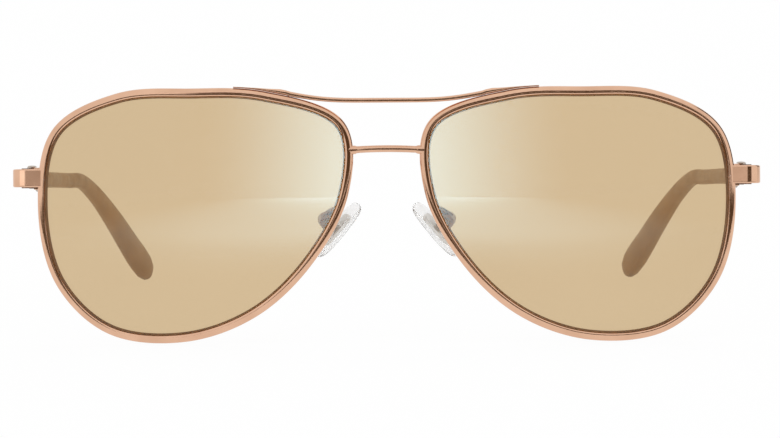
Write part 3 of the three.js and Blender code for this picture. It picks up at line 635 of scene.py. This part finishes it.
def temple_place(share, width=1.0, height=1.0, twist=0.0):
    p = temple_line(share)
    way = (temple_line(share + 0.0008) - temple_line(share - 0.0008)).normalized()
    side = (Vector((1, 0, 0)) - way * way.x).normalized()
    side = Matrix.Rotation(radians(-twist), 3, way) @ side
    return stand(p, side, side.cross(way)) @ Matrix.Diagonal((width, height, 1, 1))


mouth, core_end = share_at(PIVOT.y + SLEEVE_START), share_at(PIVOT.y + CORE_END)
print("temple line", round(temple_run, 1), "mm, sleeve from", round(mouth * temple_run, 1), "mm on")

# %% [markdown]
# The metal arm is one sweep from the joint line to the end of the core. It tapers a little on its
# way to the sleeve, then the section drops to the thin core. The first places stand square to the
# hinge, so that the open temple meets the endpiece flush.

# %% Metal arms
ARM_WIDTH, ARM_HEIGHT, ARM_WIDTH_BACK, ARM_HEIGHT_BACK = 1.5, 3.4, 1.3, 2.7


def slim(k):
    # Width and height of the bar as shares, k running from the joint line to the sleeve.
    return ((ARM_WIDTH + (ARM_WIDTH_BACK - ARM_WIDTH) * k) / ARM_WIDTH,
            (ARM_HEIGHT + (ARM_HEIGHT_BACK - ARM_HEIGHT) * k) / ARM_HEIGHT)


first = share_at(PIVOT.y + 1.2)
places = [hinge_place @ Matrix.Translation((ARM_OUT, y, 0)) @ stand(
    Vector((0, 0, 0)), Vector((1, 0, 0)), Vector((0, 0, 1))) @ Matrix.Diagonal((w, h, 1, 1))
    for y, w, h in ((0.07, 0.84, 0.93), (0.19, 1, 1))]
for i in range(25):
    places.append(temple_place(first + (mouth - 0.002 - first) * i / 24, *slim(i / 24)))
places.append(temple_place(mouth + 0.004, 0.9, 0.8))
for i in range(16):
    places.append(temple_place(mouth + 0.008 + (core_end - mouth - 0.008) * i / 15, 0.62, 0.45))
bm = bmesh.new()
sweep(bm, bar_section(ARM_WIDTH, ARM_HEIGHT, 0.34, 4), places)
both_sides(bm, "temple_{}_arm", "temple_{}", "polished_frame", [polished_copper], "temple_arm_{}",
           flats=True)

# %% [markdown]
# The sleeve grows from a slim mouth to a flat paddle behind the ear. Its section is a square with
# very round corners that is stretched to the width and height wanted at each place and turned a
# little towards the head. A curve with a bevel object would do the same, but couldn't turn and
# stretch by different amounts.

# %% Sleeves
paddle = [(0, 1.7, 2.85, 0), (0.004, 1.98, 3.1, 0), (0.02, 2.15, 3.25, 0),
          (0.35, 2.3, 3.1, 0), (0.55, 2.5, 3.2, 2),
          (0.68, 2.9, 4.0, 5), (0.82, 3.4, 5.4, 10), (0.93, 3.6, 6.2, 14), (0.965, 3.35, 5.7, 15),
          (0.985, 2.7, 4.5, 15), (0.996, 1.6, 2.7, 15), (1, 0.4, 0.7, 15)]


def paddle_at(s):
    i = next(k for k in range(1, len(paddle)) if paddle[k][0] >= s - 1e-9)
    a, b = paddle[i - 1], paddle[i]
    k = (s - a[0]) / (b[0] - a[0])
    return [p + (q - p) * k for p, q in zip(a[1:], b[1:])]


shares = [0, 0.004, 0.012] + [0.02 + 0.9 * i / 48 for i in range(49)]
shares += [0.94, 0.955, 0.965, 0.975, 0.985, 0.991, 0.996, 0.999, 1]
bm = bmesh.new()
sweep(bm, bar_section(1, 1, 0.44, 5), [temple_place(mouth + (1 - mouth) * s, *paddle_at(s)) for s in shares])
both_sides(bm, "temple_{}_sleeve", "temple_{}", "brown_sleeve", [brown_plastic], "temple_tip_{}",
           sharp=60)

# %% [markdown]
# ## Nose pads
# A pad is a soft drop of silicone, thicker in its middle, on a tongue that rocks in a small box.
# The drop is its outline swept through its own thickness: ten loops that shrink towards both
# faces, with a subdivision surface to melt them together.

# %% Pads
pad_down = Vector((sin(radians(41)), 0, -cos(radians(41))))
pad_place = stand(PAD_AT, pad_down, PAD_BACK)
PAD_LENGTH, PAD_WIDTH, PAD_THICKNESS, PAD_OFFSET = 13.0, 7.0, 2.2, 2.9
drop = through([(l * PAD_LENGTH, w * PAD_WIDTH, 0) for l, w in (
    (-0.5, 0.02), (-0.4, 0.3), (-0.08, 0.47), (0.26, 0.5), (0.46, 0.27),
    (0.5, -0.02), (0.42, -0.33), (0.18, -0.5), (-0.14, -0.44), (-0.42, -0.26))], closed=True)
half = PAD_THICKNESS / 2
layers = [(2.9, -half), (1.6, -half + 0.02), (0.7, -half + 0.12), (0.22, -half + 0.42), (0, -0.15 * half),
          (0, 0.2 * half), (0.2, half - 0.35), (0.6, half - 0.1), (1.4, half), (2.9, half)]
bm = bmesh.new()
sweep(bm, [drop(i / 32).xy for i in range(32)], [
    pad_place @ Matrix.Translation((0, 0, n - PAD_OFFSET))
    @ Matrix.Diagonal((1 - 2 * s / PAD_LENGTH, 1 - 2 * s / PAD_WIDTH, 1, 1)) for s, n in layers])
both_sides(bm, "nose_pad_{}_drop", "pad_{}", "clear_silicone", [silicone], "nose_pad_{}",
           sharp=180, rounding=2)

# %% [markdown]
# A pad arm is a wire that leaves the back of the rim and curves back and down to the pad's box. A
# thick wire can't follow a tight bend without folding through itself, so its line has only four
# points and wide bends. At the rim it swells to a brazed foot.

# %% Pad arms
PAD_WIRE_RADIUS = 0.55
rim_foot = edge_place(outline_at(-0.4, -1))
foot = rim_foot @ Vector((RIM_WIDTH / 2, 0, 0))
pad_out = pad_place.col[2].to_3d()
box_top = PAD_AT + pad_out * 1.1


def between(*shares):
    # A point part of the way from the foot to the box, with a share for each direction.
    return Vector(a + (b - a) * k for a, b, k in zip(foot, box_top, shares))


arm_line = through([
    foot, rim_foot @ Vector((RIM_WIDTH * 0.55, -RIM_DEPTH / 2 - 1.0, 0)), between(0.45, 0.8, 0.25), box_top])


def swollen_foot(s):
    return 1 + 0.45 * max(0, 1 - s / 0.2) ** 2


bm = bmesh.new()
sweep(bm, wire_section(PAD_WIRE_RADIUS, 16), along_wire(arm_line, 60, swollen_foot, 0.1, 0.985))
both_sides(bm, "pad_arm_{}_wire", "front", "hinge_metal", [satin_copper], "pad_arm_{}")

# %% [markdown]
# ## Solids that stay
# Hinge halves, closing blocks, boxes and screws already have the right shape. Their meshes stay
# untouched: a geometry-nodes modifier joins the loose triangles and shades them smooth except at
# real corners, and each gets its metal.

# %% Smooth shading for the kept solids
def smooth_by_angle():
    tree = bpy.data.node_groups.new("smooth_by_angle", "GeometryNodeTree")
    tree.interface.new_socket(name="Geometry", in_out="INPUT", socket_type="NodeSocketGeometry")
    tree.interface.new_socket(name="Geometry", in_out="OUTPUT", socket_type="NodeSocketGeometry")
    come, go = tree.nodes.new("NodeGroupInput"), tree.nodes.new("NodeGroupOutput")
    joined = add_node(tree, "GeometryNodeMergeByDistance", Geometry=come.outputs[0], Distance=0.000002)
    soft = add_node(tree, "GeometryNodeSetShadeSmooth", {"domain": "FACE"}, Geometry=joined.outputs[0])
    angle = add_node(tree, "GeometryNodeInputMeshEdgeAngle")
    corner = add_node(tree, "FunctionNodeCompare", {"operation": "GREATER_THAN"})
    tree.links.new(angle.outputs[0], corner.inputs[0])
    corner.inputs[1].default_value = radians(32)
    hard = add_node(tree, "GeometryNodeSetShadeSmooth", {"domain": "EDGE"}, Geometry=soft.outputs[0])
    tree.links.new(corner.outputs[0], hard.inputs["Selection"])
    hard.inputs["Shade Smooth"].default_value = False
    tree.links.new(hard.outputs[0], go.inputs[0])
    return tree


shading = smooth_by_angle()
kept = {"hinge_front": satin_copper, "hinge_temple": satin_copper, "closing_block_upper": polished_copper,
        "closing_block_lower": polished_copper, "pad_box": satin_copper, "hinge_screw": turned_steel,
        "closing_screw": turned_steel, "pad_screw": turned_steel, "pad_insert": pad_core}
for start_of_name, material in kept.items():
    for side in ("left", "right"):
        node = frame["nodes"][f"{start_of_name}_{side}"]
        if not node.material_slots:
            node.data.materials.append(material)
        for s in node.material_slots:
            s.material = material
        node.modifiers.new("shading", "NODES").node_group = shading
print("kept solids:", 2 * len(kept))

# %% [markdown]
# ## The studio
# The glasses stand on a plain white floor in even white light. Even light makes metal look like
# plaster, so a few cards stand round it that only reflections can see: a warm dark card in front
# draws the brown line down the middle of every wire, and a black flag stands at one side. Each card
# fades at its border, as a card out of focus does. The lens glow cards, at levels of 15 and 16 and
# with a cool tint, are far brighter than the plain level and light only the lenses. The pale inner
# halves of the lenses come from them and not from the lens material.

# %% Floor and room light
def stage_sheet(name, corner, along, up):
    bm = bmesh.new()
    bm.loops.layers.uv.new("UVMap")
    bmesh.ops.create_grid(bm, x_segments=1, y_segments=1, size=0.5, calc_uvs=True)
    for v in bm.verts:
        v.co = corner + along * (v.co.x + 0.5) + up * (v.co.y + 0.5)
    mesh = bpy.data.meshes.new(name)
    bm.to_mesh(mesh)
    bm.free()
    sheet = bpy.data.objects.new(name, mesh)
    bpy.context.scene.collection.objects.link(sheet)
    return sheet


floor = stage_sheet("floor", Vector((-15, -15, 0)), Vector((30, 0, 0)), Vector((0, 30, 0)))
floor_white = bpy.data.materials.new("floor_white")
floor_white.use_nodes = True
tree = floor_white.node_tree
tree.nodes.clear()
paper = add_node(tree, "ShaderNodeBsdfDiffuse", Color=(0.93, 0.93, 0.93, 1))
glow = add_node(tree, "ShaderNodeEmission", Color=(1, 1, 1, 1), Strength=1.0)
rays = add_node(tree, "ShaderNodeLightPath")
seen = add_node(tree, "ShaderNodeMath", {"operation": "MAXIMUM"})
tree.links.new(rays.outputs["Is Camera Ray"], seen.inputs[0])
tree.links.new(rays.outputs["Is Glossy Ray"], seen.inputs[1])
seen2 = add_node(tree, "ShaderNodeMath", {"operation": "MAXIMUM"})
tree.links.new(seen.outputs[0], seen2.inputs[0])
tree.links.new(rays.outputs["Is Transmission Ray"], seen2.inputs[1])
share = add_node(tree, "ShaderNodeMath", {"operation": "MULTIPLY"})
tree.links.new(seen2.outputs[0], share.inputs[0])
share.inputs[1].default_value = 0.955
both = add_node(tree, "ShaderNodeMixShader", Fac=share.outputs[0])
tree.links.new(paper.outputs[0], both.inputs[1])
tree.links.new(glow.outputs[0], both.inputs[2])
tree.links.new(both.outputs[0], add_node(tree, "ShaderNodeOutputMaterial").inputs[0])
floor_white.cycles.emission_sampling = "NONE"
floor.data.materials.append(floor_white)

world = bpy.data.worlds.new("white_room")
bpy.context.scene.world = world
world.use_nodes = True
world.node_tree.nodes["Background"].inputs["Color"].default_value = (1, 1, 1, 1)
world.node_tree.nodes["Background"].inputs["Strength"].default_value = 1.0

# %% [markdown]
# A card that stands in front of the glasses is easiest to place by the directions in which they see
# it, so its edges are given in degrees. A card that has to be seen below the horizon would sink
# into the floor; it lies just above the floor instead.

# %% Cards that only reflections see
def facing_sheet(name, az, el, distance):
    # az and el are pairs of degrees seen from the glasses' front.
    front = Vector((0, -0.0726, 0.025))
    x0, x1 = (front.x + distance * tan(radians(a)) for a in az)
    z0, z1 = (front.z + distance * tan(radians(e)) for e in el)
    corner = Vector((x0, front.y - distance, z0))
    return stage_sheet(name, corner, Vector((x1 - x0, 0, 0)), Vector((0, 0, z1 - z0)))


def shade(sheet, level, soft, tint=(1, 1, 1), adds=False):
    # level is the card's brightness, soft the share of it that fades at each border, sideways and
    # upwards. A card that adds lets what is behind it shine through.
    material = bpy.data.materials.new(sheet.name + "_paper")
    material.use_nodes = True
    tree = material.node_tree
    tree.nodes.clear()
    uv = add_node(tree, "ShaderNodeTexCoord").outputs["UV"]
    parts = add_node(tree, "ShaderNodeSeparateXYZ", Vector=uv)
    fade = None
    for axis, ramp in enumerate(soft if isinstance(soft, tuple) else (soft, soft)):
        tri = add_node(tree, "ShaderNodeMath", {"operation": "PINGPONG"})
        tree.links.new(parts.outputs[axis], tri.inputs[0])
        tri.inputs[1].default_value = 0.5
        edge = add_node(tree, "ShaderNodeMapRange", eased, Value=tri.outputs[0])
        edge.inputs["From Max"].default_value = ramp
        if fade is None:
            fade = edge.outputs[0]
        else:
            both = add_node(tree, "ShaderNodeMath", {"operation": "MULTIPLY"})
            tree.links.new(fade, both.inputs[0])
            tree.links.new(edge.outputs[0], both.inputs[1])
            fade = both.outputs[0]
    clear = add_node(tree, "ShaderNodeBsdfTransparent")
    light = add_node(tree, "ShaderNodeEmission", Color=(*tint, 1), Strength=level)
    if adds:
        power = add_node(tree, "ShaderNodeMath", {"operation": "MULTIPLY"})
        tree.links.new(fade, power.inputs[0])
        power.inputs[1].default_value = level
        tree.links.new(power.outputs[0], light.inputs["Strength"])
        mix = add_node(tree, "ShaderNodeAddShader")
    else:
        mix = add_node(tree, "ShaderNodeMixShader", Fac=fade)
    tree.links.new(clear.outputs[0], mix.inputs[-2])
    tree.links.new(light.outputs[0], mix.inputs[-1])
    tree.links.new(mix.outputs[0], add_node(tree, "ShaderNodeOutputMaterial").inputs[0])
    material.cycles.emission_sampling = "NONE"
    sheet.data.materials.append(material)
    sheet.visible_camera = sheet.visible_diffuse = sheet.visible_shadow = False
    sheet.visible_transmission = sheet.visible_volume_scatter = False


DARK_LEVEL, DARK_TINT, DARK_SOFT = 0.11, (1, 0.7, 0.42), 0.16
DARK_AZ, DARK_EL = (-24, 46), (-1.3, 24)
LOW_CORNER, LOW_ALONG, LOW_AHEAD = Vector((-0.42, -1.12, 0)), Vector((1.4, 0, 0)), Vector((0, 0.995, 0))
LOW_SOFT = (0.2, 0.03)
LIFT = Vector((0, 0, 0.0002))
shade(facing_sheet("dark_card", DARK_AZ, DARK_EL, 1.1), DARK_LEVEL, DARK_SOFT, DARK_TINT)
shade(stage_sheet("dark_card_low", LOW_CORNER + LIFT, LOW_ALONG, LOW_AHEAD), DARK_LEVEL, LOW_SOFT, DARK_TINT)
flag = stage_sheet("black_flag_side", Vector((0.7, 0.05, 0.0)), Vector((0, 0.62, 0)), Vector((0, 0, 0.75)))
shade(flag, 0.0, 0.1)

# %% [markdown]
# The lenses must not show the dark card, and the flats of the endpieces only part of it. Light
# linking does that: a glowing card can be set to shine on chosen pieces only. One card in front
# of the dark one gives the lenses their white back, and a soft cool glow lights the half of each
# lens that is next to the nose.

# %% Cards for the lenses and the endpieces
def shine_on(pieces, sheet, level, soft, tint=(1, 1, 1)):
    shade(sheet, level, soft, tint, adds=True)
    chosen = bpy.data.collections.new(sheet.name + "_pieces")
    for piece in pieces:
        chosen.objects.link(bpy.data.objects[piece])
    sheet.light_linking.receiver_collection = chosen


lenses = ["lens_left_shell", "lens_right_shell"]
shine_on(lenses, facing_sheet("lens_back", DARK_AZ, DARK_EL, 1.09), 0.92, DARK_SOFT)
low_back = stage_sheet("lens_back_low", LOW_CORNER + LIFT * 2, LOW_ALONG, LOW_AHEAD)
shine_on(lenses, low_back, 0.93, LOW_SOFT)

# Each lens has its own glow, a facing card and one just above the floor, and the other side's is
# its mirror image. No two cards share a plane, because a ray would find only one of them.
COOL, GLOW_LEVEL, GLOW_LOW_LEVEL = (0.5, 0.86, 1.0), 16, 15
GLOW_NEAR, GLOW_FAR = 16, 62
GLOW_LOW_ALONG, GLOW_LOW_AHEAD = Vector((1.1, 0, 0)), Vector((0, 0.905, 0))
for lens, az, distance, low_x, layer in (("left", (-GLOW_FAR, GLOW_NEAR), 0.95, -0.9, 3),
                                         ("right", (-GLOW_NEAR, GLOW_FAR), 0.92, -0.2, 4)):
    shell = [f"lens_{lens}_shell"]
    glow = facing_sheet(f"lens_glow_{lens}", az, (-GLOW_FAR, GLOW_FAR), distance)
    shine_on(shell, glow, GLOW_LEVEL, 0.5, COOL)
    glow = stage_sheet(f"lens_glow_low_{lens}", Vector((low_x, -1.0, 0)) + LIFT * layer,
                       GLOW_LOW_ALONG, GLOW_LOW_AHEAD)
    shine_on(shell, glow, GLOW_LOW_LEVEL, (0.5, 0.1), COOL)

for side, az, distance, level in (("left", (-6, 14), 0.89, 0.66), ("right", (-60, 0), 0.86, 0.42)):
    glow = facing_sheet(f"flat_glow_{side}", az, (-1.3, 30), distance)
    shine_on([f"endpiece_{side}_strip"], glow, level, 0.04)

# %% [markdown]
# ## The camera
# A long lens from a little above keeps both lenses the same size. It looks at the middle of the
# front plane; the small roll matches glasses that don't stand quite level.

# %% Camera
AIM = Vector((0.0006, -0.073, 0.024))
TILT, ROLL, DISTANCE = radians(4.2), radians(0.33), 0.8
view_way = Vector((0, cos(TILT), -sin(TILT)))
camera = bpy.data.objects.new("camera", bpy.data.cameras.new("camera"))
bpy.context.scene.collection.objects.link(camera)
camera.location = AIM - view_way * DISTANCE
camera.rotation_mode = "QUATERNION"
rolled = Matrix.Rotation(ROLL, 3, view_way).to_quaternion()
camera.rotation_quaternion = rolled @ view_way.to_track_quat("-Z", "Y")
camera.data.lens = 195.6
camera.data.sensor_width = 36
camera.data.clip_start, camera.data.clip_end = 0.01, 60
bpy.context.scene.camera = camera
bpy.context.scene.view_settings.view_transform = "Standard"
